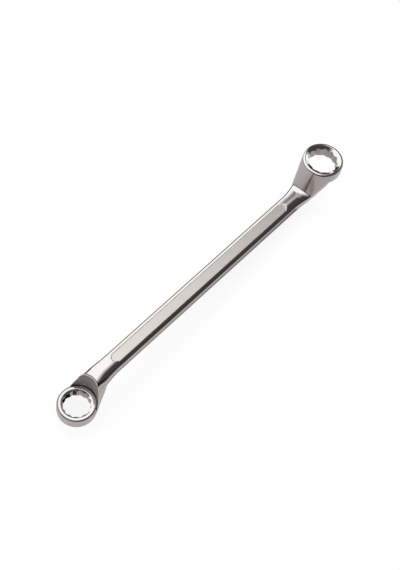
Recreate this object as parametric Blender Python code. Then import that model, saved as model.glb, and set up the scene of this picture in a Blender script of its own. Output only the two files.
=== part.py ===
"""Double-ended deep offset ring spanner, 17 x 19 mm, drop forged in one piece.

X runs along the shank from the small ring to the large one, Z is up, and Y = 0 is the plane of
symmetry. The small ring stands on Z = 0 with its working face, the large ring's working face is
on top, and the middle of the length is at X = 0. The one forging is divided where its finishes
and forms change: the shank, and at each end the neck that rises out of it and the ring.

At each end, "out" is the distance from the ring's axis towards the shank, and "rise" the height
above the middle of the shank, positive towards the side that the ring is offset to.
"""

import math

import bmesh
import bpy

MM = 0.001

# Sizes across the flats of the two nuts, and the play that a bore has on its nut
SMALL_NUT = 17 * MM
LARGE_NUT = 19 * MM
NUT_PLAY = 0.06 * MM

# Places of the rings: the distance between their axes, and how far each working face is from
# the middle of the shank
CENTRE_DISTANCE = 246.1 * MM
SMALL_OFFSET = 21.4 * MM
LARGE_OFFSET = 23.9 * MM

# Rings
SMALL_WALL_RADIUS = 13.15 * MM
LARGE_WALL_RADIUS = 14.6 * MM
SMALL_RING_HEIGHT = 8.9 * MM
LARGE_RING_HEIGHT = 9.4 * MM
SMALL_FACE_EDGE = 0.9 * MM
LARGE_FACE_EDGE = 0.8 * MM
FACE_LAND = 0.8 * MM
FACE_CHAMFER_DEPTH = 1.6 * MM
SMALL_LIP_EDGE = 1.45 * MM
LARGE_LIP_EDGE = 1.6 * MM
LIP_LAND = 1.3 * MM
LIP_CHAMFER_DEPTH = 1.2 * MM

# Shank
SHANK_WIDTH = 12.6 * MM
SHANK_SIDE_HEIGHT = 8.0 * MM
SHANK_CROWN = 1.2 * MM

# Towards each ring the shank's sides flare and lean out, to the ring's full width at its
# working face and to these widths at the shank's far face
SMALL_FLARE_START = 32 * MM
LARGE_FLARE_START = 34 * MM
FLARE_LENGTH = 25 * MM
SMALL_BACK_WIDTH = 14.4 * MM
LARGE_BACK_WIDTH = 14.9 * MM

# Panel sunk into each crowned face, with a round tongue at either end
PANEL_WIDTH = 7.4 * MM
PANEL_FLOOR_ABOVE_EDGE = 0.2 * MM
SMALL_PANEL_OUT = 34.6 * MM
LARGE_PANEL_OUT = 40.8 * MM
PANEL_TONGUE_LENGTH = 2.4 * MM
PANEL_TONGUE_WIDTH = 5.2 * MM

# Necks: where the front of the neck meets the shank, and the scoop round the ring's axis
SMALL_NOSE_OUT = 18.8 * MM
LARGE_NOSE_OUT = 20.0 * MM
SCOOP_CLEARANCE = 0.35 * MM
SCOOP_CHAMFER = 1.2 * MM
CREASE_ABOVE_EDGE = 0.3 * MM
NOSE_BOW = 0.15 * MM
BLEND = 5 * MM

# Narrow gap between neighbouring solids, and how far cutters overrun
GAP = 0.3 * MM
OVERRUN = 4 * MM

# Counts, angles and powers that shape the curves
RING_STEPS = 96
LEVELS = 9
CROWN_STEPS = 10
STATIONS = 16
TONGUE_STEPS = 10
EDGE_STEPS = 4
NECK_HALF_ANGLE = math.radians(80)
NECK_STEPS = 16
SQUAREST_POWER = 80
ROUND_POWER = 2
BISECTIONS = 40
BORE_POINTS = 12
CUTTER_TURN_SHARE = 0.5
SMOOTH_ANGLE = math.radians(32)

# Places that follow from the sizes
SHANK_Z = SMALL_OFFSET
SMALL_X = -(CENTRE_DISTANCE + LARGE_WALL_RADIUS - SMALL_WALL_RADIUS) / 2
LARGE_X = SMALL_X + CENTRE_DISTANCE
HALF_SIDE = SHANK_SIDE_HEIGHT / 2
HALF_THICKNESS = HALF_SIDE + SHANK_CROWN
CREASE = HALF_SIDE + CREASE_ABOVE_EDGE


class End:
    """The sizes of one end, and the way its own directions lie in the model's frame."""

    def __init__(self, name, x, way, nut, wall, height, offset):
        self.name = name
        self.x = x
        self.way = way
        self.wall = wall
        self.offset = offset
        self.lip = offset - height
        self.scoop = wall + SCOOP_CLEARANCE
        self.flat_radius = (nut + NUT_PLAY) / 2
        self.tip_radius = self.flat_radius / math.cos(math.pi / 6)

    def edges(self, face_edge, lip_edge):
        self.face_edge = face_edge
        self.lip_edge = lip_edge
        self.shoulder = self.lip + lip_edge
        return self

    def neck(self, nose, flare, back_width):
        self.nose = nose
        self.flare = flare
        self.back_half_width = back_width / 2
        return self

    def point(self, out, side, rise):
        return (self.x - self.way * out, side, SHANK_Z + self.way * rise)


SMALL = End("small", SMALL_X, -1, SMALL_NUT, SMALL_WALL_RADIUS, SMALL_RING_HEIGHT, SMALL_OFFSET)
SMALL.edges(SMALL_FACE_EDGE, SMALL_LIP_EDGE)
SMALL.neck(SMALL_NOSE_OUT, SMALL_FLARE_START, SMALL_BACK_WIDTH)
LARGE = End("large", LARGE_X, 1, LARGE_NUT, LARGE_WALL_RADIUS, LARGE_RING_HEIGHT, LARGE_OFFSET)
LARGE.edges(LARGE_FACE_EDGE, LARGE_LIP_EDGE)
LARGE.neck(LARGE_NOSE_OUT, LARGE_FLARE_START, LARGE_BACK_WIDTH)


def spread(first, last, count):
    """count + 1 values from first to last."""
    return [first + (last - first) * step / count for step in range(count + 1)]


def bar_half_width(end, out, rise):
    """Half the bar's width: straight along the shank, flaring and leaning out near the ring."""
    lean = (rise + HALF_SIDE) / (end.offset + HALF_SIDE)
    near = end.back_half_width + (end.wall - end.back_half_width) * lean
    flare = min(max((end.flare - out) / FLARE_LENGTH, 0), 1)
    flare *= flare * (3 - 2 * flare)
    return SHANK_WIDTH / 2 + (near - SHANK_WIDTH / 2) * flare


def neck_half_width(end, out, rise):
    """Half the neck's width: the bar's up to the crease, then out to the ring's wall."""
    if rise <= CREASE:
        return bar_half_width(end, out, rise)
    root = bar_half_width(end, out, CREASE)
    return root + (end.wall - root) * share_of_rise(end, rise)


def share_of_rise(end, rise):
    """How far up the neck a height is: 0 up to the crease and 1 at the ring's working face."""
    return max((rise - CREASE) / (end.offset - CREASE), 0)


def neck_radius(end, angle, rise):
    """Distance from the ring's axis to the outside of the neck, square below and round above."""
    share = share_of_rise(end, rise)
    middle = end.nose + (end.wall - end.nose) * share
    power = min(SQUAREST_POWER, ROUND_POWER / max(share, 1 / SQUAREST_POWER))
    inner = 0
    outer = 2 * end.nose
    for _ in range(BISECTIONS):
        radius = (inner + outer) / 2
        out = radius * math.cos(angle)
        side = radius * math.sin(angle)
        across = side / neck_half_width(end, out, rise)
        reach = middle - NOSE_BOW * across * across * (1 - share)
        if abs(out / reach) ** power + abs(across) ** power < 1:
            inner = radius
        else:
            outer = radius
    return inner


def ring_radius(end, angle, rise):
    """The ring's round wall, blended into the neck where the neck stands further out."""
    if math.cos(angle) <= 0:
        return end.wall
    neck = neck_radius(end, angle, rise)
    apart = abs(neck - end.wall)
    blend = max(BLEND - apart, 0) ** 2 / (4 * BLEND)
    return max(neck, end.wall) + blend * math.cos(angle) * (1 - share_of_rise(end, rise))


def material(name, colour, roughness, metallic):
    made = bpy.data.materials.new(name)
    made.use_nodes = True
    shader = made.node_tree.nodes["Principled BSDF"]
    shader.inputs["Base Color"].default_value = (*colour, 1)
    shader.inputs["Roughness"].default_value = roughness
    shader.inputs["Metallic"].default_value = metallic
    return made


def lofted(name, loops):
    """A closed solid through loops of equally many points, capped at both ends."""
    mesh = bpy.data.meshes.new(name)
    form = bmesh.new()
    rows = [[form.verts.new(point) for point in loop] for loop in loops]
    count = len(rows[0])
    for low, high in zip(rows, rows[1:]):
        for at in range(count):
            after = (at + 1) % count
            form.faces.new((low[at], low[after], high[after], high[at]))
    form.faces.new(rows[0])
    form.faces.new(rows[-1])
    bmesh.ops.recalc_face_normals(form, faces=form.faces)
    form.to_mesh(mesh)
    form.free()
    made = bpy.data.objects.new(name, mesh)
    bpy.context.scene.collection.objects.link(made)
    return made


def finished(made, finish):
    made.data.materials.append(finish)
    made.data.shade_smooth()
    made.data.set_sharp_from_angle(angle=SMOOTH_ANGLE)
    return made


def combine(made, other, operation):
    """Joins or cuts with another solid, which then stays as a guide only."""
    other.hide_render = True
    other.display_type = "WIRE"
    step = made.modifiers.new(other.name, "BOOLEAN")
    step.operation = operation
    step.solver = "EXACT"
    step.object = other
    return made


def round_loop(end, radius, rise, turn=0):
    """A circle about the ring's axis, turned by a share of its steps."""
    angles = [2 * math.pi * (step + turn) / RING_STEPS for step in range(RING_STEPS)]
    return [end.point(radius * math.cos(a), radius * math.sin(a), rise) for a in angles]


def outline(end, angles, rise, radius_at):
    """The points of a level outline about the ring's axis, for a radius given by a rule."""
    radii = [radius_at(end, a, rise) for a in angles]
    return [end.point(r * math.cos(a), r * math.sin(a), rise) for r, a in zip(radii, angles)]


def turned(name, end, profile):
    """A solid of revolution about the ring's axis, through (radius, rise) pairs."""
    return lofted(name, [round_loop(end, radius, rise, CUTTER_TURN_SHARE) for radius, rise in profile])


def bore_outline(end):
    """Twelve points: two hexagons turned by half a side, walked corner by corner."""
    inner_radius = end.flat_radius / math.cos(math.pi / BORE_POINTS)
    points = []
    for step in range(2 * BORE_POINTS):
        angle = math.pi * step / BORE_POINTS
        radius = inner_radius if step % 2 else end.tip_radius
        points.append((radius * math.cos(angle), radius * math.sin(angle)))
    return points


def make_ring(end, finish):
    """The ring from its shoulder to its working face, with its lip, and its bore cut through."""
    angles = spread(0, 2 * math.pi, RING_STEPS)[:-1]
    loops = []
    lip_radius = end.wall - end.lip_edge
    for turn in spread(0, math.pi / 2, EDGE_STEPS)[::-1]:
        radius = lip_radius + (end.lip_edge - GAP) * math.cos(turn)
        loops.append(round_loop(end, radius, end.shoulder - end.lip_edge * math.sin(turn)))
    for rise in spread(end.shoulder, end.offset - end.face_edge, LEVELS):
        loops.append(outline(end, angles, rise, ring_radius))
    for turn in spread(0, math.pi / 2, EDGE_STEPS)[1:]:
        rise = end.offset - end.face_edge * (1 - math.sin(turn))
        inset = end.face_edge * (1 - math.cos(turn))
        loops.append(outline(end, angles, rise, lambda *at: ring_radius(*at) - inset))
    ring = lofted(end.name + "_ring", loops)

    rises = (end.lip - OVERRUN, end.offset + OVERRUN)
    bore = [[end.point(out, side, rise) for out, side in bore_outline(end)] for rise in rises]
    combine(ring, lofted(end.name + "_bore_cutter", bore), "DIFFERENCE")

    face_radius = end.wall - end.face_edge - FACE_LAND
    face_slope = (face_radius - end.tip_radius) / FACE_CHAMFER_DEPTH
    narrow = end.flat_radius / 2
    cone = [
        (narrow, end.offset - (face_radius - narrow) / face_slope),
        (face_radius, end.offset),
        (face_radius, end.offset + OVERRUN),
    ]
    combine(ring, turned(end.name + "_face_cutter", end, cone), "DIFFERENCE")

    lip_land_radius = lip_radius - LIP_LAND
    funnel = [
        (lip_land_radius, end.lip - OVERRUN),
        (lip_land_radius, end.lip),
        (end.flat_radius, end.lip + LIP_CHAMFER_DEPTH),
    ]
    combine(ring, turned(end.name + "_lip_cutter", end, funnel), "DIFFERENCE")
    return finished(ring, finish)


def bar_section(end, out):
    """The bar's section: two flat sides and two crowned faces."""
    section = []
    for face in (1, -1):
        half_width = bar_half_width(end, out, face * HALF_SIDE)
        for step in spread(-1, 1, CROWN_STEPS):
            rise = face * (HALF_SIDE + SHANK_CROWN * (1 - step * step))
            section.append(end.point(out, face * step * half_width, rise))
    return section


def neck_angles(end, rise):
    """Directions about the ring's axis, with one on each corner of the neck's front."""
    reach = end.nose + (end.wall - end.nose) * share_of_rise(end, rise)
    corner = math.atan2(neck_half_width(end, reach, rise), reach)
    side = spread(corner, NECK_HALF_ANGLE, NECK_STEPS)[1:]
    return [-a for a in side[::-1]] + spread(-corner, corner, NECK_STEPS) + side


def beyond_bar(end, out):
    """Section of what lies past the bar's crowned far face, for cutting it."""
    half_width = bar_half_width(end, out, -HALF_SIDE)
    wide = 1 + OVERRUN / half_width
    section = []
    for step in spread(-wide, wide, CROWN_STEPS):
        rise = -HALF_SIDE - SHANK_CROWN * (1 - step * step)
        section.append(end.point(out, step * half_width, rise))
    far = -HALF_THICKNESS - OVERRUN
    section.append(end.point(out, wide * half_width, far))
    section.append(end.point(out, -wide * half_width, far))
    return section


def make_neck(end, finish):
    """The end of the bar and what rises from it to the ring, scooped out round the ring's axis."""
    low = -HALF_THICKNESS - OVERRUN / 2
    rises = spread(low, CREASE, LEVELS // 2) + spread(CREASE, end.shoulder - GAP, LEVELS)[1:]
    loops = [outline(end, neck_angles(end, rise), rise, neck_radius) for rise in rises]
    neck = lofted(end.name + "_neck", loops)

    outs = spread(end.nose + OVERRUN, 0, STATIONS)
    cutter = lofted(end.name + "_crown_cutter", [beyond_bar(end, out) for out in outs])
    combine(neck, cutter, "DIFFERENCE")

    scoop = [
        (end.scoop, end.shoulder + OVERRUN),
        (end.scoop, SCOOP_CHAMFER - HALF_THICKNESS),
        (end.scoop + SCOOP_CHAMFER + OVERRUN, -HALF_THICKNESS - OVERRUN),
    ]
    combine(neck, turned(end.name + "_scoop_cutter", end, scoop), "DIFFERENCE")
    return finished(neck, finish)


def panel_outline(half_width):
    """The panel's outline from above, with a round tongue past either end."""
    small_end = SMALL.x + SMALL_PANEL_OUT
    large_end = LARGE.x - LARGE_PANEL_OUT
    outline = []
    for end_x, along in ((large_end, 1), (small_end, -1)):
        outline.append((end_x, -along * half_width))
        for turn in spread(-math.pi / 2, math.pi / 2, TONGUE_STEPS):
            x = end_x + along * PANEL_TONGUE_LENGTH * math.cos(turn)
            outline.append((x, along * PANEL_TONGUE_WIDTH / 2 * math.sin(turn)))
        outline.append((end_x, along * half_width))
    return outline


def make_shank(finish):
    """The bar between the two necks, with a panel sunk into each crowned face."""
    small = spread(SMALL.nose + GAP, SMALL_PANEL_OUT, STATIONS)
    large = spread(LARGE_PANEL_OUT, LARGE.nose + GAP, STATIONS)
    sections = [bar_section(SMALL, out) for out in small]
    sections += [bar_section(LARGE, out)[::-1] for out in large]
    shank = lofted("shank", sections)
    floor = HALF_SIDE + PANEL_FLOOR_ABOVE_EDGE
    for name, way in (("upper", 1), ("lower", -1)):
        heights = (SHANK_Z + way * floor, SHANK_Z + way * (floor + OVERRUN))
        loops = [[(x, y, z) for x, y in panel_outline(PANEL_WIDTH / 2)] for z in heights]
        combine(shank, lofted(name + "_panel_cutter", loops), "DIFFERENCE")
    return finished(shank, finish)


def main():
    for old in list(bpy.data.objects):
        bpy.data.objects.remove(old, do_unlink=True)
    make_shank(material("polished_steel", (0.78, 0.76, 0.73), 0.12, 1))
    for end in (SMALL, LARGE):
        satin = material(end.name + "_neck_satin_steel", (0.60, 0.57, 0.56), 0.38, 1)
        make_neck(end, satin)
        ring_steel = material(end.name + "_ring_satin_steel", (0.62, 0.59, 0.58), 0.32, 1)
        make_ring(end, ring_steel)


main()
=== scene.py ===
"""Looks of the double-ended ring spanner: a fine surface for each node, its finishes and painted shade,
and a studio.

The shapes are fields: a function of place that is negative inside the metal. Each node's surface
is netted on a grid, and its points are then drawn exactly onto the surface, so that rounded edges,
blends and the mirror finish are smooth. All sizes in the shapes are in millimetres, and those of
the studio are in metres. The CAD's nodes keep small gaps between them, which these pieces close.
"""

import math

import bpy
import numpy as np
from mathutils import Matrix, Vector


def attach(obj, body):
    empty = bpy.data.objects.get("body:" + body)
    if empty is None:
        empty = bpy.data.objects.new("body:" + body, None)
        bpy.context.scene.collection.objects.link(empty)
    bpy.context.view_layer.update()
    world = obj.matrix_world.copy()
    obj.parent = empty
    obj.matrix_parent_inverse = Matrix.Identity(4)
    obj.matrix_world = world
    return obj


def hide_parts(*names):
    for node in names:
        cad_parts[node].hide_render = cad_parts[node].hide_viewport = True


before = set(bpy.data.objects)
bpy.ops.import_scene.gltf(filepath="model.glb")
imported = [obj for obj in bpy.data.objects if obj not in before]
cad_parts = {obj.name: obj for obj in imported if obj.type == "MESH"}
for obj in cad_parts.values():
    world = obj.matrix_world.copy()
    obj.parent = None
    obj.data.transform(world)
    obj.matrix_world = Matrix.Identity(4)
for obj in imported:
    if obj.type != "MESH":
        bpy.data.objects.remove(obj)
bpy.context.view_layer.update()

MM = 0.001

# Places of the rings, and the shank's middle height
CENTRE_DISTANCE = 246.1
SMALL_WALL_RADIUS = 13.15
LARGE_WALL_RADIUS = 14.6
SMALL_OFFSET = 21.4
LARGE_OFFSET = 23.9

# Ring details that both ends share
NUT_PLAY = 0.06
FACE_LAND = 0.8
FACE_CHAMFER_DEPTH = 1.2
FACE_SLOPE = 0.14
LIP_LAND = 1.3
LIP_CHAMFER_DEPTH = 1.2
LIP_OVERLAP = 1.0
BORE_SOFTNESS = 0.35
BORE_EDGE = 0.18

# Shank
SHANK_WIDTH = 12.6
HALF_SIDE = 4.0
SHANK_CROWN = 1.2
SHANK_EDGE = 1.3
SCOOP_END_EDGE = 2.6
EDGE_LOST_UNDER_RISER = 0.96
FOOT_FADE = 1.2
FLARE_LENGTH = 25.0
SIDE_DRAFT = 0.05
PARTING_HEIGHT = 0.05
PARTING_WIDTH = 0.35

# Sunk panel of each crowned face
PANEL_HALF_WIDTH = 3.35
PANEL_FLOOR_ABOVE_EDGE = 0.2
PANEL_FLOOR = HALF_SIDE + PANEL_FLOOR_ABOVE_EDGE
SMALL_PANEL_OUT = 34.6
LARGE_PANEL_OUT = 40.8
PANEL_TONGUE_LENGTH = 2.4
PANEL_TONGUE_HALF_WIDTH = 2.6
PANEL_DRAFT = 0.45
PANEL_EDGE = 0.12

# Necks and the scoop round each ring's axis
CREASE_ABOVE_EDGE = 0.3
CREASE = HALF_SIDE + CREASE_ABOVE_EDGE
NOSE_BOW = 0.15
BLEND_AT_FOOT = 1.5
BLEND_AT_FACE = 5.0
BLEND_REACH = 4.0
FOOT_FILLET = 0.3
FILLET_FADE = 1.0
SWEEP_LENGTH = 4.0
SWEEP_RADIUS = 14.0
CREASE_FOOT_LEAN = math.radians(14)
CREASE_TOP_LEAN = math.radians(9)
CREASE_TOP_SIDE = 3.1
CREASE_SPREAD = 0.3
CREASE_FADE = 5.2
CREASE_SHARP = 0.25
CREASE_SOFT = 1.2
SCOOP_CLEARANCE = 0.35
SCOOP_CHAMFER = 0.45
SCOOP_EDGE = 0.15
DROOP_RADIUS = 60.0
DROOP_LENGTH = 8.0
SQUAREST_POWER = 80

# Outside everything, and the least values that keep roots and divisions from zero
FAR = 100.0
LEAST_SUM = 1e-30
LEAST_SIZE = 0.05
LEAST_FILLET = 1e-6
LEAST_STEEPNESS = 0.05
LEAST_LENGTH = 1e-12

# How far a point looks about it for the slope of a field, how often and how far it is drawn to the
# surface, and how near a plane it lies in it
SLOPE_REACH = 0.01
DRAWS = 8
LONGEST_DRAW = 0.3
PLANE_MARGIN = 1e-6

# Grids of the nets, with the widest steps that each part of a surface gets: the finest where it turns
RING_ANGLES = 288
NECK_ANGLES = 201
NECK_HALF_TURN = math.radians(100)
INSIDE_BORE = 8.1
PARTING_STEP = 0.13
EDGE_STEP = 0.16
LIP_STEP = 0.18
FACE_STEP = 0.2
BORE_STEP = 0.22
SCOOP_STEP = 0.25
MARGIN_STEP = 0.25
SIDE_STEP = 0.3
FLANK_STEP = 0.4
WALL_STEP = 0.45
BAR_STEP = 0.8
PANEL_STEP = 2.0

# How far a grid reaches past the metal, and how far its finer steps reach past an edge
GRID_MARGIN = 0.5
FACE_MARGIN = 0.4
WALL_MARGIN = 0.6
NOSE_MARGIN = 3.6
RISER_PAST_WALL = 4.2
CORNER_REACH = 0.2
FACE_REACH = 2.0
SCOOP_REACH = 2.0
FOOT_REACH = 3.0
PANEL_REACH_OUT = 3.0
PANEL_REACH_IN = 1.0

# Spans of the necks' and the shank's grids: where each ends, and its widest step
NECK_BOTTOM = -5.8
NECK_RISES = ((-2.4, EDGE_STEP), (-0.4, SIDE_STEP), (0.4, PARTING_STEP), (2.4, SIDE_STEP),
              (6.4, EDGE_STEP))
SHANK_SIDES = ((3.4, 0.4), (4.4, 0.12), (5.0, 0.2), (6.6, 0.13), (9.4, 0.25))
SHANK_RISES = ((0.6, 0.1), (2.6, SIDE_STEP), (5.8, 0.13), (6.6, SIDE_STEP))

# What a cell of a net meets, as bits: the body itself, and from the next bit on each cutting plane
ON_BODY = 1
ON_FIRST_PLANE = 2

# Edges of the finishes. A level is 1 where the surface lies flat and 0 where it stands upright, and
# a pair says where a finish begins and where it is full.
POLISH_LEVEL = 0.32
POLISH_LEVEL_AT_SCOOP = 0.70
POLISH_FADE = 0.06
UPRIGHT_LEVEL = 0.3
CHAMFER_MARGIN = 0.03
CHAMFER_LEVEL = 0.4
CHAMFER_POLISH = 0.35
RISER_MARGIN = 0.04
RISER_FINISH_MARGIN = 0.1
SCOOP_MARGIN = 0.12
PANEL_MARGIN = 0.6
PANEL_DEPTH = 0.1
HOLE_MARGIN = 0.08
LIP_POLISH = (0.55, 0.65)
RIM_POLISH = (0.0, 0.2)

# Painted shade along the bar: dark reflections painted along the polished faces' borders, shade painted
# beside the scoop and the riser, and on the sides along the parting ridge
BORDER = (0.9, 1.2)
BORDER_SHIFT = 0.6
BORDER_DEPTH = 1.4
SCOOP_LINE = (-0.6, -0.4)
RISER_LINE = (-0.6, -0.3)
RISER_LINE_INSET = (-0.1, 0.3)
LINE_DEPTH = 0.3
PARTING_SHADE = 0.5

# Painted dark reflections on the rings' rounded rim and lip: the levels over which each rises, and over
# which it falls again
RIM_SHADE = 0.8
RIM_LINE = ((0.35, 0.5), (0.7, 0.85))
LIP_SHADE = 0.75
LIP_LINE = ((0.5, 0.65), (0.96, 0.995))
LIP_LINE_END = (4.0, 9.0)

# Painted shade: a dark wedge beside the crease of the large riser, and the paler painted shade of the
# flank past it
WEDGE_SHADE = 0.95
WEDGE_TOP_WIDTH = 1.3
WEDGE_SPREAD = 4.5
WEDGE_SPREAD_POWER = 1.3
WEDGE_FADE_POWER = 1.4
WEDGE_EDGE = (0.0, 0.4)
WEDGE_OUT = 5.0
WEDGE_ABOVE_CREASE = 0.5
FLANK_SHADE = 0.16
FLANK_EDGE = (0.0, 0.5)
FLANK_OUT = (0.0, 8.0)

# Colours and roughness of the plating. A pair varies with its faint clouds.
SATIN_COLOURS = ((0.40, 0.355, 0.345), (0.46, 0.41, 0.40))
SATIN_ROUGHNESS = (0.31, 0.38)
PANEL_COLOURS = ((0.90, 0.865, 0.81), (0.97, 0.935, 0.885))
PANEL_ROUGHNESS = 0.3
# The hole's own roughness, with a darker colour that is painted shade inside the hole
BORE_SHADED_COLOUR = (0.32, 0.29, 0.275)
BORE_ROUGHNESS = 0.3
SCOOP_COLOUR = (0.40, 0.355, 0.35)
SCOOP_ROUGHNESS = 0.55
POLISHED_COLOUR = (0.93, 0.915, 0.89)
POLISHED_ROUGHNESS = 0.07
# Near black of the painted shade and painted dark reflections that the edge share mixes in
PAINTED_SHADE_COLOUR = (0.05, 0.045, 0.043)
CLOUD_SCALE = 60
CLOUD_DETAIL = 2
GRAIN_SCALE = 900
GRAIN_DETAIL = 4
GRAIN_DEPTH = 0.04 * MM
GRAIN_STRENGTH = 0.25

# Camera, with its turn in degrees, and its focal length and the frame's height in pixels
CAMERA_PLACE = (-0.37223, -0.22401, 0.71722)
CAMERA_TURN = (31.059, -6.412, -48.054)
SENSOR = 36.0
FOCAL_PIXELS = 1200
FRAME_HEIGHT = 570

# Floor, which passes just under the small ring's face and under the large end's underside
SMALL_CONTACT_X = -0.1115
LARGE_CONTACT_X = 0.1074
LARGE_CONTACT_HEIGHT = 0.0162
FLOOR_GAP = 0.0003
FLOOR_REACH = 3.0
FLOOR_GREY = (0.25, 0.25, 0.25)
FLOOR_GLOW = 0.82

# Black cards over the floor, which only metal mirrors: their corners or their (x, x, y, y) limits
FAR_CARD = [(0.176, 0.024), (1.52, 0.51), (0.76, 1.365), (0.16, 0.064)]
FAR_CARD_HEIGHT = 0.002
# A black sheet under the shank: painted shadow of the spanner on the floor, as metal mirrors it
UNDER_SHADOW_CARD = (-0.095, 0.095, -0.0105, 0.0105)
# A black sheet under the small ring's hole: painted contact shadow, as metal mirrors it
BORE_SHADOW_CARD = (-0.134, -0.1195, -0.001, 0.0105)
NEAR_CARD_HEIGHT = 0.0001
CARD_BLACK = (0.03, 0.026, 0.025)

# Soft black flags of the world: a direction, and the shares of it in a ray's own direction from
# which the flag begins and is full
RIGHT_FLAG = ((0.416, -0.904, -0.096), -0.16, 0.12)
HIGH_FLAG = ((0, 0, 1), 0.30, 0.55)
CAMERA_FLAG = ((-0.853, -0.522, 0.0), 0.19, 0.37)
RAISED_FLAG = ((0, 0, 1), 0.47, 0.53)
BEHIND_FLAG = ((0.633, 0.754, -0.174), 0.79, 0.88)
AHEAD_FLAG = ((0.85, 0.25, 0.47), 0.875, 0.915)
FLAG_BLACK = (0.055, 0.045, 0.042)

# White of the world, how strongly it lights what isn't metal, and the lamp
WHITE = (1, 1, 1)
WORLD_LIGHT = 0.7
LAMP_PLACE = (0.3, 0.7, 0.8)
LAMP_SIZE = (0.8, 0.6)
LAMP_POWER = 2.5


class End:
    """The sizes of one end. Out runs from the ring's axis to the shank, rise to the offset side.

    The ring has a wall radius and a height. The riser's foot reaches out to the nose. The bar's
    sides begin to lean out at the flare, and their back is the bar's width by the scoop."""

    def __init__(self, name, x, way, nut, wall, height, offset, face_edge, lip_edge, nose, flare,
                 back, lean_power, creased):
        self.name = name
        self.x = x
        self.way = way
        self.wall = wall
        self.offset = offset
        self.face_edge = face_edge
        self.lip_edge = lip_edge
        self.nose = nose
        self.flare = flare
        self.back_half_width = back / 2
        self.lean_power = lean_power
        self.creased = creased
        self.lip = offset - height
        self.shoulder = self.lip + lip_edge
        self.scoop = wall + SCOOP_CLEARANCE
        self.flat_radius = (nut + NUT_PLAY) / 2
        self.tip_radius = self.flat_radius / math.cos(math.pi / 6)
        self.face_radius = wall - face_edge - FACE_LAND
        self.lip_radius = wall - lip_edge - LIP_LAND

    def local(self, points):
        """Out, side and rise of points given in the model's frame."""
        out = self.way * (self.x - points[..., 0])
        return out, points[..., 1], self.way * (points[..., 2] - SMALL_OFFSET)

    def world(self, out, side, rise):
        """Points in the model's frame, from out, side and rise."""
        return np.stack([self.x - self.way * out, side, SMALL_OFFSET + self.way * rise], -1)


SMALL_X = -(CENTRE_DISTANCE + LARGE_WALL_RADIUS - SMALL_WALL_RADIUS) / 2
SMALL = End("small", x=SMALL_X, way=-1, nut=17.0, wall=SMALL_WALL_RADIUS, height=8.9,
            offset=SMALL_OFFSET, face_edge=0.9, lip_edge=1.45, nose=18.8, flare=32.0, back=14.4,
            lean_power=0.85, creased=False)
LARGE = End("large", x=SMALL_X + CENTRE_DISTANCE, way=1, nut=19.0, wall=LARGE_WALL_RADIUS, height=9.4,
            offset=LARGE_OFFSET, face_edge=0.8, lip_edge=1.6, nose=20.0, flare=34.0, back=14.9,
            lean_power=1.0, creased=True)
PANEL_START = SMALL.x + SMALL_PANEL_OUT
PANEL_STOP = LARGE.x - LARGE_PANEL_OUT


# Ways to shape and to join fields

def step_up(value, low, high):
    """0 up to low, 1 from high, smooth between."""
    share = np.clip((value - low) / (high - low), 0, 1)
    return share * share * (3 - 2 * share)


def band(value, rising, falling):
    """1 between two spans, rising over the first and falling over the second."""
    return step_up(value, *rising) * (1 - step_up(value, *falling))


def soft_max(a, b, softness):
    """The larger of two fields, with the edge between them softened."""
    near = np.maximum(softness - np.abs(a - b), 0)
    return np.maximum(a, b) + near * near / (4 * softness)


def soft_min(a, b, softness):
    """The smaller of two fields, with the hollow between them softened."""
    near = np.maximum(softness - np.abs(a - b), 0)
    return np.minimum(a, b) - near * near / (4 * softness)


def rounded(a, b, radius):
    """Where two surfaces meet at an outer edge: both at once, with the edge rounded."""
    a = a + radius
    b = b + radius
    corner = np.sqrt(np.maximum(a, 0) ** 2 + np.maximum(b, 0) ** 2)
    return corner + np.minimum(np.maximum(a, b), 0) - radius


# Fields of the bar, the risers and the rings

def flare_share(end, out):
    """0 along the straight bar, 1 beside the ring."""
    return step_up(end.flare - out, 0, FLARE_LENGTH)


def scoop_share(end, out, rise):
    """0 along the bar and on the ring's side of it, 1 on its other face beside the scoop."""
    return step_up(end.scoop + DROOP_LENGTH - out, 0, DROOP_LENGTH) * (rise < 0)


def rise_share(end, rise):
    """0 at the riser's foot, 1 at the ring's working face."""
    return np.clip((rise - CREASE) / (end.offset - CREASE), 0, 1)


def bar_half_width(end, out, rise):
    """Half of the bar's width, which leans out towards the ring."""
    lean = np.maximum(rise + HALF_SIDE, 0) / (end.offset + HALF_SIDE)
    near = end.back_half_width + (end.wall - end.back_half_width) * lean ** end.lean_power
    return SHANK_WIDTH / 2 + (near - SHANK_WIDTH / 2) * flare_share(end, out)


def crown_field(end, out, side, rise):
    """Height above the nearer crowned face of the bar, which sweeps up to the riser's foot."""
    half_width = bar_half_width(end, out, np.sign(rise) * HALF_SIDE)
    sweep = np.maximum(end.nose + SWEEP_LENGTH - out, 0) ** 2 / (2 * SWEEP_RADIUS)
    droop = np.maximum(end.scoop + DROOP_LENGTH - out, 0) ** 2 / (2 * DROOP_RADIUS)
    crown = SHANK_CROWN * (1 - (side / half_width) ** 2)
    return np.abs(rise) - HALF_SIDE - crown - np.where(rise > 0, sweep, -droop)


def bar_field(end, out, side, rise):
    """The bar: flat leaning sides with a faint parting line, and two crowned faces."""
    half_width = bar_half_width(end, out, np.clip(rise, -HALF_SIDE, CREASE))
    parting = PARTING_HEIGHT * np.exp(-((rise / PARTING_WIDTH) ** 2))
    draft = SIDE_DRAFT * (np.abs(rise) - HALF_SIDE / 2) * (1 - flare_share(end, out))
    sides = np.abs(side) - half_width - parting + draft
    under_riser = step_up(end.nose + FOOT_FADE / 2 - out, 0, FOOT_FADE) * (rise > 0)
    wider = (SCOOP_END_EDGE - SHANK_EDGE) * scoop_share(end, out, rise)
    edge = SHANK_EDGE * (1 - EDGE_LOST_UNDER_RISER * under_riser) + wider
    bar = rounded(sides, crown_field(end, out, side, rise), edge)
    return np.maximum(bar, -out)


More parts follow.
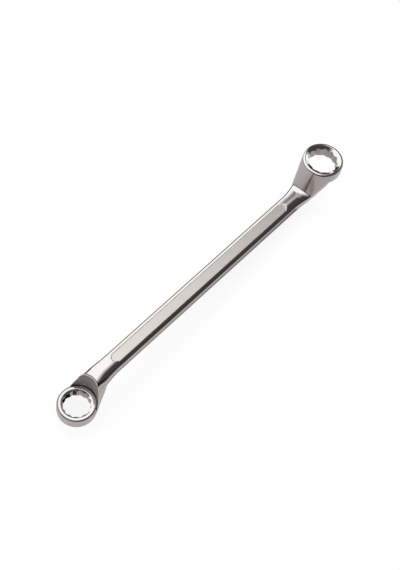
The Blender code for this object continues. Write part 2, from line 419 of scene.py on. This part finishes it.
def crease_side(rise):
    """How far to the side of the middle the crease on the large riser lies."""
    return CREASE_TOP_SIDE + CREASE_SPREAD * np.exp(-np.maximum(rise - CREASE, 0) / CREASE_FADE)


def riser_field(end, out, side, rise):
    """What rises from the bar to the ring: square at its foot and round at the ring's face."""
    share = rise_share(end, rise)
    root = bar_half_width(end, out, np.minimum(rise, CREASE))
    half_width = root + (end.wall - root) * share
    across = np.abs(side) / half_width
    reach = end.nose + (end.wall - end.nose) * share
    reach = reach - NOSE_BOW * np.minimum(across, 1) ** 2 * (1 - share)
    power = np.minimum(SQUAREST_POWER, 2 / np.maximum(share, 1 / SQUAREST_POWER))
    size = (np.maximum(out, 0) / reach) ** power + across ** power
    size = np.maximum(size, LEAST_SUM) ** (1 / power)
    field = np.hypot(out, side) * (1 - 1 / np.maximum(size, LEAST_SIZE))
    if end.creased:
        lean = CREASE_FOOT_LEAN + (CREASE_TOP_LEAN - CREASE_FOOT_LEAN) * share
        facet = (out - reach) * np.cos(lean) + (-side - crease_side(rise)) * np.sin(lean)
        field = soft_max(field, facet, CREASE_SHARP + CREASE_SOFT * (1 - share) ** 3)
    return np.where(out > 0, field, FAR)


def upper_field(end, out, side, rise):
    """The riser and the ring's round wall, blended where they part."""
    riser = riser_field(end, out, side, rise)
    wall = np.hypot(out, side) - end.wall
    share = rise_share(end, rise)
    facing = step_up(out, 0, BLEND_REACH) * (1 - share * share)
    blend = BLEND_AT_FOOT + (BLEND_AT_FACE - BLEND_AT_FOOT) * share
    near = np.maximum(blend - np.abs(riser - wall), 0)
    return np.minimum(riser, wall) - near * near / (4 * blend) * facing


def body_field(end, out, side, rise):
    """The bar with the riser on it, and a fillet along the riser's foot."""
    bar = bar_field(end, out, side, rise)
    upper = np.maximum(upper_field(end, out, side, rise), -rise)
    inset = bar_half_width(end, out, HALF_SIDE) - np.abs(side)
    fillet = FOOT_FILLET * np.clip(inset / FILLET_FADE, 0, 1)
    return soft_min(bar, upper, np.maximum(fillet, LEAST_FILLET))


def scoop_field(end, out, side, rise):
    """The hollow round the ring's axis, with a chamfer at the bar's far face."""
    hollow = end.scoop - np.hypot(out, side)
    crown = crown_field(end, out, side, np.minimum(rise, 0))
    chamfer = (hollow + crown + SCOOP_CHAMFER) / math.sqrt(2)
    return np.maximum(hollow, np.where(rise < 0, chamfer, -FAR))


def star_field(end, out, side):
    """The twelve-point hole: two hexagons, with slightly softened corners."""
    star = None
    for turn in (0, math.pi / 6):
        hexagon = None
        for step in range(3):
            angle = turn + math.pi / 6 + step * math.pi / 3
            flat = np.abs(out * math.cos(angle) + side * math.sin(angle)) - end.flat_radius
            hexagon = flat if hexagon is None else soft_max(hexagon, flat, BORE_SOFTNESS)
        star = hexagon if star is None else soft_min(star, hexagon, BORE_SOFTNESS)
    return star


def chamfer_field(end, out, side, rise):
    """The two cones that open the hole at the working face and at the lip."""
    radius = np.hypot(out, side)
    slope = (end.face_radius - end.tip_radius) / FACE_CHAMFER_DEPTH
    cone = radius - end.face_radius - slope * (rise - end.offset)
    lip_slope = (end.lip_radius - end.flat_radius) / LIP_CHAMFER_DEPTH
    funnel = radius - end.lip_radius + lip_slope * (rise - end.lip)
    return np.minimum(cone / math.hypot(1, slope), funnel / math.hypot(1, lip_slope))


def ring_parts(end, points):
    """The ring's fields: its upper body, its lip, the plane of its shoulder, and its hole."""
    out, side, rise = end.local(points)
    radius = np.hypot(out, side)
    dome = FACE_SLOPE * np.maximum(radius - end.face_radius, 0)
    upper = rounded(upper_field(end, out, side, rise), rise - end.offset + dome, end.face_edge)
    lip = rounded(radius - end.wall, end.lip - rise, end.lip_edge)
    lip = np.maximum(lip, rise - end.shoulder - LIP_OVERLAP)
    hole = np.minimum(star_field(end, out, side), chamfer_field(end, out, side, rise))
    return upper, lip, end.shoulder - rise, hole


def panel_outline(points):
    """Distance outside the panel's outline, seen from above."""
    x, side = points[..., 0], points[..., 1]
    ends = np.maximum(PANEL_START - x, x - PANEL_STOP)
    outline = np.maximum(np.abs(side) - PANEL_HALF_WIDTH, ends)
    for end_x in (PANEL_START, PANEL_STOP):
        shape = np.hypot((x - end_x) / PANEL_TONGUE_LENGTH, side / PANEL_TONGUE_HALF_WIDTH)
        outline = np.minimum(outline, (shape - 1) * PANEL_TONGUE_LENGTH)
    return outline


def panel_field(points):
    """The hollow of both panels, with walls that lean out."""
    height = np.abs(points[..., 2] - SMALL_OFFSET) - PANEL_FLOOR
    walls = (panel_outline(points) - PANEL_DRAFT * height) / math.hypot(1, PANEL_DRAFT)
    return np.maximum(walls, -height)


def against_planes(body, planes):
    """The body cut off by planes, and which of them, if any, cuts at each point."""
    value, which = body, np.full(body.shape, -1)
    for at, plane in enumerate(planes):
        which = np.where(plane > value, at, which)
        value = np.maximum(value, plane)
    return value, which


# Shapes of the nodes. Each has its cutting planes as (axis, level), a body before they cut it, and
# a field with which plane, if any, cuts at each point.

class Ring:
    """One ring: above its shoulder all of the metal, and below it only the lip."""

    def __init__(self, end):
        self.end = end
        self.planes = [(2, SMALL_OFFSET + end.way * end.shoulder)]

    def field(self, points):
        upper, lip, plane, hole = ring_parts(self.end, points)
        above = np.maximum(upper, plane)
        whole = np.minimum(above, lip)
        on_plane = (plane > upper) & (above < lip) & (whole > -hole)
        return soft_max(whole, -hole, BORE_EDGE), np.where(on_plane, 0, -1)

    def body(self, points):
        upper, _, _, hole = ring_parts(self.end, points)
        return soft_max(upper, -hole, BORE_EDGE)


class Neck:
    """The end of the bar with its riser, up to the ring's shoulder and out to the riser's foot."""

    def __init__(self, end):
        self.end = end
        self.planes = [(2, SMALL_OFFSET + end.way * end.shoulder), (0, end.x - end.way * end.nose)]

    def body(self, points):
        place = self.end.local(points)
        return soft_max(body_field(self.end, *place), scoop_field(self.end, *place), SCOOP_EDGE)

    def field(self, points):
        out, _, rise = self.end.local(points)
        return against_planes(self.body(points), [rise - self.end.shoulder, out - self.end.nose])


class Shank:
    """The bar between the two necks, with a panel sunk into each crowned face."""

    def __init__(self):
        self.planes = [(0, end.x - end.way * end.nose) for end in (SMALL, LARGE)]

    def body(self, points):
        small, large = (body_field(end, *end.local(points)) for end in (SMALL, LARGE))
        bar = np.where(points[..., 0] < 0, small, large)
        return soft_max(bar, -panel_field(points), PANEL_EDGE)

    def field(self, points):
        planes = [end.nose - end.local(points)[0] for end in (SMALL, LARGE)]
        return against_planes(self.body(points), planes)


# Nets over the surfaces

def spans(start, *parts):
    """Grid lines from a start through spans, each given by where it ends and its widest step."""
    lines = []
    for stop, step in parts:
        lines.append(np.linspace(start, stop, max(math.ceil((stop - start) / step), 1) + 1))
        start = stop
    return np.unique(np.round(np.concatenate(lines), 6))


def mirrored(half):
    """Grid lines to both sides of zero, from those to one side."""
    return np.unique(np.concatenate([-half, half]))


def round_grid(end, angles, radii, rises):
    """Points on a grid of angle, radius and rise about a ring's axis."""
    angle, radius, rise = np.meshgrid(angles, radii, rises, indexing="ij")
    return end.world(radius * np.cos(angle), radius * np.sin(angle), rise)


def edge_slices(axis, shifts):
    """Slices that give each cell one of the four edges along an axis."""
    slices = [None] * 3
    for other, shift in shifts.items():
        slices[other] = slice(1, None) if shift else slice(None, -1)
    slices[axis] = slice(None)
    return tuple(slices)


def net(grid, value, which, wrap):
    """A net of quads over the zero surface of a field on a grid, with the kinds that each cell meets.

    With wrap, the grid's first axis closes on itself."""
    if wrap:
        grid = np.concatenate([grid, grid[:1]])
        value = np.concatenate([value, value[:1]])
        which = np.concatenate([which, which[:1]])
    inside = value < 0
    cells = tuple(n - 1 for n in value.shape)
    total = np.zeros(cells + (3,))
    count = np.zeros(cells)
    kinds = np.zeros(cells, int)
    crossings = []
    for axis in range(3):
        low = tuple(slice(None, -1) if a == axis else slice(None) for a in range(3))
        high = tuple(slice(1, None) if a == axis else slice(None) for a in range(3))
        cross = inside[low] != inside[high]
        gap = np.where(cross, value[low] - value[high], 1)
        share = np.where(cross, value[low] / gap, 0)[..., None]
        place = grid[low] + (grid[high] - grid[low]) * share
        kind = ON_BODY << (np.where(inside[low], which[high], which[low]) + 1)
        crossings.append(cross)
        others = [a for a in range(3) if a != axis]
        for first in (0, 1):
            for second in (0, 1):
                part = edge_slices(axis, {others[0]: first, others[1]: second})
                total += place[part] * cross[part][..., None]
                count += cross[part]
                kinds |= np.where(cross[part], kind[part], 0)
    met = count > 0
    index = np.full(cells, -1)
    index[met] = np.arange(met.sum())
    quads = [quads_along(axis, crossings[axis], index, wrap) for axis in range(3)]
    return total[met] / count[met][:, None], np.concatenate(quads), kinds[met]


def quads_along(axis, cross, index, wrap):
    """One quad for each crossed edge along an axis, through the four cells round the edge."""
    others = [a for a in range(3) if a != axis]
    inner = [slice(None)] * 3
    for other in others:
        inner[other] = slice(0, -1) if wrap and other == 0 else slice(1, -1)
    cross = cross[tuple(inner)]
    corners = []
    for shifts in ((1, 1), (0, 1), (0, 0), (1, 0)):
        part = index
        for other, shift in zip(others, shifts):
            if wrap and other == 0:
                part = np.roll(part, shift, axis=0)
            else:
                keep = [slice(None)] * 3
                keep[other] = slice(None, -1) if shift else slice(1, None)
                part = part[tuple(keep)]
        corners.append(part[cross])
    return np.stack(corners, -1)


def value_of(shape):
    """A shape's field alone, without which plane cuts at each point."""
    return lambda points: shape.field(points)[0]


def slope(field, points):
    """The field's slope at points, by small steps to either side."""
    parts = []
    for axis in range(3):
        step = np.zeros(3)
        step[axis] = SLOPE_REACH
        parts.append((field(points + step) - field(points - step)) / (2 * SLOPE_REACH))
    return np.stack(parts, -1)


def toward(value, turn):
    """The step to a field's zero along its slope, limited in length."""
    steep = np.maximum((turn ** 2).sum(-1), LEAST_STEEPNESS)
    longest = LONGEST_DRAW / np.sqrt(steep)
    return np.clip(-value / steep, -longest, longest)[..., None] * turn


def drawn(shape, points, kinds):
    """Points drawn exactly onto the surface, and onto both surfaces where a plane cuts it."""
    whole = value_of(shape)
    on_body = kinds == ON_BODY
    for _ in range(DRAWS):
        part = points[on_body]
        points[on_body] = part + toward(whole(part), slope(whole, part))
    for at, (axis, level) in enumerate(shape.planes):
        on_plane = kinds & (ON_FIRST_PLANE << at) > 0
        points[on_plane, axis] = level
        kinds[on_plane & (shape.body(points) > 0)] |= ON_BODY
        on_edge = on_plane & (kinds & ON_BODY > 0)
        for _ in range(DRAWS):
            part = points[on_edge]
            turn = slope(shape.body, part)
            for other, plane in enumerate(shape.planes):
                turn[kinds[on_edge] & (ON_FIRST_PLANE << other) > 0, plane[0]] = 0
            points[on_edge] = part + toward(shape.body(part), turn)
    return points


def unit(vectors):
    """Vectors at a length of 1."""
    return vectors / np.maximum(np.linalg.norm(vectors, axis=-1, keepdims=True), LEAST_LENGTH)


def quad_normals(points, quads):
    """Normals of quads, from their diagonals."""
    across = points[quads[:, 2]] - points[quads[:, 0]]
    along = points[quads[:, 3]] - points[quads[:, 1]]
    return unit(np.cross(across, along))


def point_normals(shape, points, kinds):
    """The field's slope at each point, and the body's own along an edge that a plane cuts."""
    smooth = slope(value_of(shape), points)
    on_edge = (kinds & ON_BODY > 0) & (kinds > ON_BODY)
    smooth[on_edge] = slope(shape.body, points[on_edge])
    return unit(smooth)


def quad_ways(shape, points, quads, kinds, smooth):
    """Which way out of the metal each quad faces, and which quads lie in a cutting plane."""
    whole = value_of(shape)
    ways = smooth[quads].sum(1)
    cut = (kinds[quads] != ON_BODY).all(1)
    for axis, level in shape.planes:
        same = cut & (np.abs(points[quads][:, :, axis] - level).max(1) < PLANE_MARGIN)
        centre = points[quads[same]].mean(1)
        step = np.zeros(3)
        step[axis] = SLOPE_REACH
        ways[same] = 0
        ways[same, axis] = np.sign(whole(centre + step) - whole(centre - step))
    return ways, cut


def new_object(name, data):
    """An object in the scene, with the data that it shows."""
    made = bpy.data.objects.new(name, data)
    bpy.context.scene.collection.objects.link(made)
    return made


def surface(name, shape, grid, wrap, finishes, material, body="root"):
    """A closed piece with smooth normals, from a shape and a grid of points to look at it on."""
    value, which = shape.field(grid)
    points, quads, kinds = net(grid, value, which, wrap)
    points = drawn(shape, points, kinds)
    smooth = point_normals(shape, points, kinds)
    ways, cut = quad_ways(shape, points, quads, kinds, smooth)
    turned = (quad_normals(points, quads) * ways).sum(1) < 0
    quads[turned] = quads[turned][:, ::-1]
    corners = smooth[quads]
    corners[cut] = unit(ways[cut])[:, None]

    mesh = bpy.data.meshes.new(name)
    mesh.from_pydata((points * MM).tolist(), [], quads.tolist())
    mesh.shade_smooth()
    mesh.normals_split_custom_set(corners.reshape(-1, 3).tolist())
    for finish, share in finishes(points, smooth).items():
        layer = mesh.attributes.new(finish, "FLOAT", "POINT")
        layer.data.foreach_set("value", np.ascontiguousarray(share, dtype=np.float32))
    mesh.materials.append(material)
    piece = new_object(name, mesh)
    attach(piece, body)
    return piece


# Where each finish and each painted shade lies, as a share from 0 to 1 at each point

def bar_finishes_and_shade(end, points, normals):
    """Polish of the bar's faces, the painted dark reflections and shade round and beside them, and the
    scoop's wall.
    """
    out, side, rise = end.local(points)
    level = np.abs(normals[:, 2])
    upright = level < UPRIGHT_LEVEL
    crown = crown_field(end, out, side, rise)
    beyond = np.hypot(out, side) - end.scoop
    upper = np.where(rise > 0, upper_field(end, out, side, rise), FAR)
    chamfer = (beyond < SCOOP_CHAMFER + CHAMFER_MARGIN) & (rise < 0)
    on_bar = ~chamfer & (upper > RISER_MARGIN)
    near_scoop = scoop_share(end, out, rise)
    lowest = POLISH_LEVEL + (POLISH_LEVEL_AT_SCOOP - POLISH_LEVEL) * near_scoop
    face = step_up(level, lowest, lowest + POLISH_FADE)
    polish = np.maximum(face * on_bar, CHAMFER_POLISH * chamfer * (level > CHAMFER_LEVEL))

    inset = bar_half_width(end, out, np.sign(rise) * HALF_SIDE) - np.abs(side)
    from_edge = np.maximum(inset, 0) - BORDER_SHIFT * near_scoop
    # Painted dark reflection along the rounded borders of the polished faces
    painted_border = face * (1 - step_up(from_edge, *BORDER)) * (crown > -BORDER_DEPTH)
    # Painted shade and dark reflections beside the scoop's chamfer and in the hollow at the riser's foot
    beside_scoop = step_up(SCOOP_CHAMFER - beyond, *SCOOP_LINE) * (rise < 0)
    beside_riser = step_up(-upper, *RISER_LINE) * (rise > 0) * step_up(inset, *RISER_LINE_INSET)
    beside = np.maximum(beside_scoop, beside_riser) * (crown > -LINE_DEPTH)
    # Painted shade along the parting ridge of the sides
    parting = PARTING_SHADE * np.exp(-((rise / PARTING_WIDTH) ** 2)) * upright
    edge = np.maximum(np.maximum(painted_border, beside) * on_bar, parting * (upper > 0))
    if end.creased:
        # Painted shade of the wedge beside the crease, and of the flank
        shade = crease_shade(end, out, side, rise)
        edge = np.maximum(edge, shade * (upper < RISER_FINISH_MARGIN))
    wall = (np.abs(beyond) < SCOOP_MARGIN) & upright
    return polish, edge, wall.astype(float)


def crease_shade(end, out, side, rise):
    """Painted shade: the dark wedge beside the crease of the large riser, sharp at the crease and fading
    from it, and a paler shade on the flank past it.
    """
    past = -side - crease_side(rise)
    spread = WEDGE_SPREAD * (1 - rise_share(end, rise)) ** WEDGE_SPREAD_POWER
    fading = np.clip(1 + past / (WEDGE_TOP_WIDTH + spread), 0, 1) ** WEDGE_FADE_POWER
    wedge = WEDGE_SHADE * fading * (1 - step_up(past, *WEDGE_EDGE)) * (out > WEDGE_OUT)
    flank = FLANK_SHADE * step_up(past, *FLANK_EDGE) * step_up(out, *FLANK_OUT)
    return np.maximum(wedge, flank) * (rise > CREASE + WEDGE_ABOVE_CREASE)


def neck_finishes_and_shade(end):
    """The finishes and painted shade of one neck."""
    def finishes(points, normals):
        polish, edge, wall = bar_finishes_and_shade(end, points, normals)
        return {"polish": polish, "edge": edge, "scoop": wall}
    return finishes


def ring_finishes_and_shade(end):
    """The finishes of one ring: polished lip, rim and cones, a hole painted darker as shade, and painted
    dark reflections on the rim and lip.
    """
    def finishes(points, normals):
        out, side, rise = end.local(points)
        level = np.abs(normals[:, 2])
        hole = star_field(end, out, side)
        cones = chamfer_field(end, out, side, rise)
        in_cone = (np.abs(cones) < HOLE_MARGIN) & (cones < hole)
        # The hole's share darkens it: painted shade inside the hole
        in_hole = (np.abs(np.minimum(hole, cones)) < HOLE_MARGIN) & ~in_cone
        lip = step_up(level, *LIP_POLISH) * (rise < end.shoulder) * ~in_hole
        rim = step_up(rise - end.offset + end.face_edge, *RIM_POLISH) * ~in_hole
        polish = np.maximum(np.maximum(lip, rim), in_cone)

        outer = np.hypot(out, side) > end.face_radius
        at_rim = outer & (rise > end.offset - end.face_edge)
        at_lip = outer & (rise < end.shoulder)
        # Painted dark reflections in the rounding of the rim, and of the lip away from the neck
        rim_line = RIM_SHADE * band(level, *RIM_LINE) * at_rim
        lip_line = LIP_SHADE * band(level, *LIP_LINE) * at_lip * (1 - step_up(out, *LIP_LINE_END))
        edge = np.maximum(rim_line, lip_line)
        if end.creased:
            # Painted shade of the wedge beside the crease, and of the flank, on the ring
            shade = crease_shade(end, out, side, rise)
            edge = np.maximum(edge, shade * ~at_rim * ~in_hole * outer)
        return {"polish": polish, "bore": in_hole.astype(float), "edge": edge}
    return finishes


def shank_finishes_and_shade(points, normals):
    """The finishes and painted shade of the shank: those of the bar, but matte in the panels."""
    near_small = points[:, 0] < 0
    ends = [bar_finishes_and_shade(end, points, normals) for end in (SMALL, LARGE)]
    polish, edge, _ = (np.where(near_small, small, large) for small, large in zip(*ends))
    crowns = [crown_field(end, *end.local(points)) for end in (SMALL, LARGE)]
    sunk = np.where(near_small, *crowns) < -PANEL_DEPTH
    panel = sunk & (panel_outline(points) < PANEL_MARGIN)
    return {"polish": polish * ~panel, "panel": panel.astype(float), "edge": edge * ~panel}


# Materials

def node_tree(material):
    """A material's nodes, and the shader among them."""
    material.use_nodes = True
    tree = material.node_tree
    return tree, tree.nodes["Principled BSDF"]


def blended(tree, factor, low, high, kind="RGBA"):
    """From low to high with a factor. Each is a colour or number, or comes from another node."""
    mix = tree.nodes.new("ShaderNodeMix")
    mix.data_type = kind
    for name, value in (("A", low), ("B", high)):
        if isinstance(value, bpy.types.NodeSocket):
            tree.links.new(value, mix.inputs[name])
        else:
            mix.inputs[name].default_value = (*value, 1) if kind == "RGBA" else value
    tree.links.new(factor, mix.inputs["Factor"])
    return mix.outputs["Result"]


def ranged(tree, factor, low, high):
    """A number that goes from low to high as the factor goes from 0 to 1."""
    span = tree.nodes.new("ShaderNodeMapRange")
    span.inputs["To Min"].default_value = low
    span.inputs["To Max"].default_value = high
    tree.links.new(factor, span.inputs["Value"])
    return span.outputs["Result"]


def combined(tree, operation, first, second):
    """Two numbers put together by an operation of the maths node."""
    node = tree.nodes.new("ShaderNodeMath")
    node.operation = operation
    tree.links.new(first, node.inputs[0])
    tree.links.new(second, node.inputs[1])
    return node.outputs[0]


def attribute(tree, name):
    """The share of a finish at each point of the surface."""
    node = tree.nodes.new("ShaderNodeAttribute")
    node.attribute_name = name
    return node.outputs["Fac"]


def noise(tree, scale, detail):
    """Soft noise that stays in place on the piece."""
    place = tree.nodes.new("ShaderNodeTexCoord")
    made = tree.nodes.new("ShaderNodeTexNoise")
    made.inputs["Scale"].default_value = scale
    made.inputs["Detail"].default_value = detail
    tree.links.new(place.outputs["Object"], made.inputs["Vector"])
    return made.outputs["Fac"]


def chrome():
    """Chrome plate: satin where ground, a mirror where polished, matte in the sunk panels, with painted
    shade and painted dark reflections mixed in by the edge share.
    """
    material = bpy.data.materials.new("chrome")
    tree, shader = node_tree(material)
    shader.inputs["Metallic"].default_value = 1.0
    cloud = noise(tree, CLOUD_SCALE, CLOUD_DETAIL)
    colour = blended(tree, cloud, *SATIN_COLOURS)
    rough = ranged(tree, cloud, *SATIN_ROUGHNESS)
    panel = blended(tree, cloud, *PANEL_COLOURS)
    finishes = (("bore", BORE_SHADED_COLOUR, BORE_ROUGHNESS), ("scoop", SCOOP_COLOUR, SCOOP_ROUGHNESS),
                ("polish", POLISHED_COLOUR, POLISHED_ROUGHNESS), ("panel", panel, PANEL_ROUGHNESS))
    masks = {}
    for name, tint, dullness in finishes:
        masks[name] = attribute(tree, name)
        colour = blended(tree, masks[name], colour, tint)
        rough = blended(tree, masks[name], rough, dullness, "FLOAT")
    # The edge share paints shade and dark reflections into the colour
    colour = blended(tree, attribute(tree, "edge"), colour, PAINTED_SHADE_COLOUR)
    tree.links.new(colour, shader.inputs["Base Color"])
    tree.links.new(rough, shader.inputs["Roughness"])

    bump = tree.nodes.new("ShaderNodeBump")
    bump.inputs["Distance"].default_value = GRAIN_DEPTH
    strength = ranged(tree, masks["polish"], GRAIN_STRENGTH, 0.0)
    tree.links.new(strength, bump.inputs["Strength"])
    tree.links.new(noise(tree, GRAIN_SCALE, GRAIN_DETAIL), bump.inputs["Height"])
    tree.links.new(bump.outputs["Normal"], shader.inputs["Normal"])
    return material


def matte(name, colour):
    """A material of one colour without any shine."""
    material = bpy.data.materials.new(name)
    tree, shader = node_tree(material)
    shader.inputs["Base Color"].default_value = (*colour, 1)
    shader.inputs["Roughness"].default_value = 1.0
    shader.inputs["Specular IOR Level"].default_value = 0.0
    return material, tree, shader


# The spanner's pieces, each of which replaces its plainer node

def make_ring(end, metal):
    """One ring, netted all round its axis."""
    angles = np.linspace(0, 2 * math.pi, RING_ANGLES, endpoint=False)
    radii = spans(INSIDE_BORE, (end.tip_radius + CORNER_REACH, BORE_STEP),
                  (end.wall + WALL_MARGIN, FACE_STEP), (end.wall + RISER_PAST_WALL, FLANK_STEP))
    rises = spans(end.lip - GRID_MARGIN, (end.lip, MARGIN_STEP), (end.shoulder + CORNER_REACH, LIP_STEP),
                  (end.offset - FACE_REACH, WALL_STEP), (end.offset + FACE_MARGIN, EDGE_STEP))
    ring = surface(end.name + "_ring_surface", Ring(end), round_grid(end, angles, radii, rises), True,
                   ring_finishes_and_shade(end), metal)
    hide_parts(end.name + "_ring")


def make_neck(end, metal):
    """One neck, netted round its ring's axis on the shank's side."""
    angles = np.linspace(-NECK_HALF_TURN, NECK_HALF_TURN, NECK_ANGLES)
    radii = spans(end.scoop - WALL_MARGIN, (end.scoop + SCOOP_REACH, SCOOP_STEP),
                  (end.nose + NOSE_MARGIN, SIDE_STEP))
    rises = spans(NECK_BOTTOM, *NECK_RISES, (end.shoulder + GRID_MARGIN, FLANK_STEP))
    neck = surface(end.name + "_neck_surface", Neck(end), round_grid(end, angles, radii, rises), False,
                   neck_finishes_and_shade(end), metal)
    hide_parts(end.name + "_neck")


def make_shank(metal):
    """The shank, netted along, across and upwards."""
    small_foot = SMALL.x + SMALL.nose
    large_foot = LARGE.x - LARGE.nose
    xs = spans(small_foot - GRID_MARGIN, (small_foot + FOOT_REACH, FACE_STEP),
               (PANEL_START - PANEL_REACH_OUT, BAR_STEP), (PANEL_START + PANEL_REACH_IN, EDGE_STEP),
               (PANEL_STOP - PANEL_REACH_IN, PANEL_STEP), (PANEL_STOP + PANEL_REACH_OUT, EDGE_STEP),
               (large_foot - SWEEP_LENGTH - GRID_MARGIN, BAR_STEP), (large_foot + GRID_MARGIN, FACE_STEP))
    ys = mirrored(spans(0, *SHANK_SIDES))
    zs = SMALL_OFFSET + mirrored(spans(0, *SHANK_RISES))
    grid = np.stack(np.meshgrid(xs, ys, zs, indexing="ij"), -1)
    shank = surface("shank_surface", Shank(), grid, False, shank_finishes_and_shade, metal)
    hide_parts("shank")


def make_spanner():
    """The five pieces, which all share one plating."""
    metal = chrome()
    for end in (SMALL, LARGE):
        make_ring(end, metal)
        make_neck(end, metal)
    make_shank(metal)


# The studio

def make_camera():
    """The photo's camera, whose place and turn were solved from the photo."""
    camera = new_object("camera", bpy.data.cameras.new("camera"))
    camera.location = CAMERA_PLACE
    camera.rotation_euler = [math.radians(angle) for angle in CAMERA_TURN]
    camera.data.sensor_width = SENSOR
    camera.data.lens = SENSOR * FOCAL_PIXELS / FRAME_HEIGHT
    bpy.context.scene.camera = camera


def floor_height(x):
    """The floor's height, on which the spanner leans as it lies."""
    lean = LARGE_CONTACT_HEIGHT / (LARGE_CONTACT_X - SMALL_CONTACT_X)
    return (x - SMALL_CONTACT_X) * lean - FLOOR_GAP


def rectangle(x_low, x_high, y_low, y_high):
    """The four corners of a rectangle."""
    return [(x_low, y_low), (x_high, y_low), (x_high, y_high), (x_low, y_high)]


def stage_sheet(name, corners, above, material):
    """A flat sheet in the floor's plane, or a little above it, through (x, y) corners."""
    mesh = bpy.data.meshes.new(name)
    points = [(x, y, floor_height(x) + above) for x, y in corners]
    mesh.from_pydata(points, [], [tuple(range(len(points)))])
    mesh.materials.append(material)
    made = new_object(name, mesh)
    return made


def seen_or_mirrored(tree):
    """1 for rays that come from the camera, or from metal or glass."""
    rays = tree.nodes.new("ShaderNodeLightPath").outputs
    seen = combined(tree, "MAXIMUM", rays["Is Camera Ray"], rays["Is Glossy Ray"])
    return combined(tree, "MAXIMUM", seen, rays["Is Transmission Ray"])


def make_floor():
    """A floor that is seen and mirrored as near white, and keeps the spanner's shadow."""
    material, tree, shader = matte("floor", FLOOR_GREY)
    shader.inputs["Emission Color"].default_value = (*WHITE, 1)
    glow = ranged(tree, seen_or_mirrored(tree), 0.0, FLOOR_GLOW)
    tree.links.new(glow, shader.inputs["Emission Strength"])
    stage_sheet("floor", rectangle(-FLOOR_REACH, FLOOR_REACH, -FLOOR_REACH, FLOOR_REACH), 0, material)


def make_cards():
    """The black cards over the floor: a flag far off, and painted shadow under the shank and under the
    small ring's hole.
    """
    black, _, _ = matte("black_card", CARD_BLACK)
    cards = (("far_floor_card", FAR_CARD, FAR_CARD_HEIGHT),
             ("under_shadow_card", rectangle(*UNDER_SHADOW_CARD), NEAR_CARD_HEIGHT),
             ("bore_shadow_card", rectangle(*BORE_SHADOW_CARD), NEAR_CARD_HEIGHT))
    for name, corners, above in cards:
        card = stage_sheet(name, corners, above, black)
        card.visible_camera = False
        card.visible_shadow = False
        card.visible_diffuse = False


def flag(tree, direction, low, high):
    """0 to 1 by how far the direction that a ray looks in points along a fixed one."""
    look = tree.nodes.new("ShaderNodeTexCoord")
    dot = tree.nodes.new("ShaderNodeVectorMath")
    dot.operation = "DOT_PRODUCT"
    tree.links.new(look.outputs["Generated"], dot.inputs[0])
    dot.inputs[1].default_value = direction
    step = tree.nodes.new("ShaderNodeMapRange")
    step.interpolation_type = "SMOOTHSTEP"
    step.inputs["From Min"].default_value = low
    step.inputs["From Max"].default_value = high
    tree.links.new(dot.outputs["Value"], step.inputs["Value"])
    return step.outputs["Result"]


def dark_flags(tree):
    """1 where a flag is: overhead on the right, raised by the camera, low behind, or ahead."""
    overhead = combined(tree, "MULTIPLY", flag(tree, *RIGHT_FLAG), flag(tree, *HIGH_FLAG))
    by_camera = combined(tree, "MULTIPLY", flag(tree, *CAMERA_FLAG), flag(tree, *RAISED_FLAG))
    flags = combined(tree, "MAXIMUM", overhead, by_camera)
    flags = combined(tree, "MAXIMUM", flags, flag(tree, *BEHIND_FLAG))
    return combined(tree, "MAXIMUM", flags, flag(tree, *AHEAD_FLAG))


def make_world():
    """A white world, in which only metal mirrors the black flags."""
    world = bpy.data.worlds.new("studio")
    bpy.context.scene.world = world
    world.use_nodes = True
    tree = world.node_tree
    background = tree.nodes["Background"]
    path = tree.nodes.new("ShaderNodeLightPath")
    flags = combined(tree, "MULTIPLY", dark_flags(tree), path.outputs["Is Glossy Ray"])
    tree.links.new(blended(tree, flags, WHITE, FLAG_BLACK), background.inputs["Color"])
    strength = ranged(tree, seen_or_mirrored(tree), WORLD_LIGHT, 1.0)
    tree.links.new(strength, background.inputs["Strength"])


def make_lamp():
    """A softbox behind the spanner, which metal doesn't mirror."""
    lamp = bpy.data.lights.new("softbox", "AREA")
    lamp.shape = "RECTANGLE"
    lamp.size, lamp.size_y = LAMP_SIZE
    lamp.energy = LAMP_POWER
    box = new_object("softbox", lamp)
    box.location = LAMP_PLACE
    box.rotation_euler = (-Vector(LAMP_PLACE)).to_track_quat("-Z", "Y").to_euler()
    box.visible_glossy = False


make_spanner()
make_camera()
make_floor()
make_world()
make_cards()
make_lamp()
bpy.context.scene.view_settings.view_transform = "Standard"
